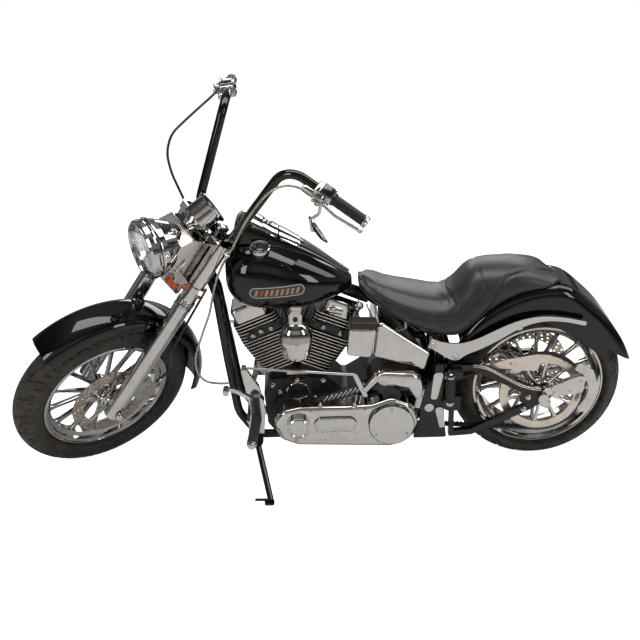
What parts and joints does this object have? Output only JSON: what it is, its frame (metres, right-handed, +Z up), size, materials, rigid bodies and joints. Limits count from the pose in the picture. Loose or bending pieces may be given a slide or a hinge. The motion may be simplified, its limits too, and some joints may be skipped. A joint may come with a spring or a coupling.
{
  "type": "chopper motorcycle",
  "caption": "Long low chopper motorcycle with high swept handlebar, finned V-twin engine, teardrop tank, stepped seat and full fenders, leaning on its side stand.",
  "frame": {"origin": "centre of the overall box at floor level, as the bike stands", "axes": "-X towards the front wheel, +X towards the rear wheel, +Z up from the floor, -Y the bike's left side, to which it leans"},
  "size_m": [2.2569, 0.8628, 1.4352],
  "materials": {
    "gloss_black": "deep gloss black paint",
    "black_paint": "black powder coat",
    "engine_black": "black wrinkle finish with bright fin edges",
    "chrome": "polished chrome",
    "polished_metal": "polished aluminium",
    "satin_metal": "satin machined metal",
    "dark_steel": "dark plated steel",
    "seat_leather": "black leather",
    "peg_rubber": "black rubber with chrome ends",
    "belt_rubber": "black toothed belt",
    "tyre_rubber": "black tyre",
    "lamp_glass": "clear glass",
    "amber_lens": "amber plastic",
    "cable_sheath": "black sheath"
  },
  "bodies": {
    "chassis": {"drive_belt": "belt_rubber", "rear_axle": "dark_steel", "swingarm": "black_paint", "frame": "black_paint", "engine_cases": "engine_black", "finned_cylinders": "engine_black", "rocker_covers": "chrome", "primary_cover": "chrome", "gearbox_top": "chrome", "cam_cover": "chrome", "air_cleaner": "chrome", "exhaust_pipes": "chrome", "horn": "chrome", "oil_tank": "chrome", "battery_cover": "chrome", "fuel_tank": "gloss_black", "tank_console": "chrome", "rear_fender": "gloss_black", "seat": "seat_leather", "fender_struts": "chrome", "belt_guard": "satin_metal", "plate_bracket": "chrome", "rear_caliper": "satin_metal", "forward_controls": "chrome", "foot_pegs": "peg_rubber", "pivot_covers": "chrome", "stand_bracket": "dark_steel", "clutch_cable_lower": "cable_sheath"},
    "fork": {"triple_clamps": "chrome", "fork_tubes": "chrome", "fork_sliders": "polished_metal", "front_axle": "dark_steel", "front_fender": "gloss_black", "front_caliper": "satin_metal", "headlamp": "chrome", "headlamp_lens": "lamp_glass", "fork_shroud": "chrome", "marker_lenses": "amber_lens", "gauge": "chrome", "handlebar": "black_paint", "grips": "peg_rubber", "hand_controls": "chrome", "mirror": "chrome", "clutch_cable": "cable_sheath", "right_cable": "cable_sheath", "brake_hose": "cable_sheath"},
    "front_wheel": {"front_tyre": "tyre_rubber", "front_rim": "chrome", "front_disc": "satin_metal"},
    "rear_wheel": {"rear_tyre": "tyre_rubber", "rear_rim": "chrome", "rear_disc": "satin_metal", "rear_pulley": "satin_metal"},
    "side_stand": {"side_stand": "black_paint"}
  },
  "joints": [
    {"name": "steering", "type": "hinge", "parent": "chassis", "child": "fork", "pos_m": [-0.4289, -0.05988, 0.82279], "axis": [0.5518, -0.1448, 0.8213], "range_deg": [-75, 0]},
    {"name": "front_wheel_spin", "type": "hinge", "parent": "fork", "child": "front_wheel", "pos_m": [-0.82642, -0.0054, 0.30806], "axis": [-0.5077, 0.723, 0.4686], "continuous": true},
    {"name": "rear_wheel_spin", "type": "hinge", "parent": "chassis", "child": "rear_wheel", "pos_m": [0.79958, 0.02934, 0.31684], "axis": [0, 0.9848, 0.1736], "continuous": true},
    {"name": "stand_swing", "type": "hinge", "parent": "chassis", "child": "side_stand", "pos_m": [-0.24428, -0.18186, 0.15555], "axis": [0.2444, -0.768, 0.5919], "range_deg": [0, 75]}
  ]
}
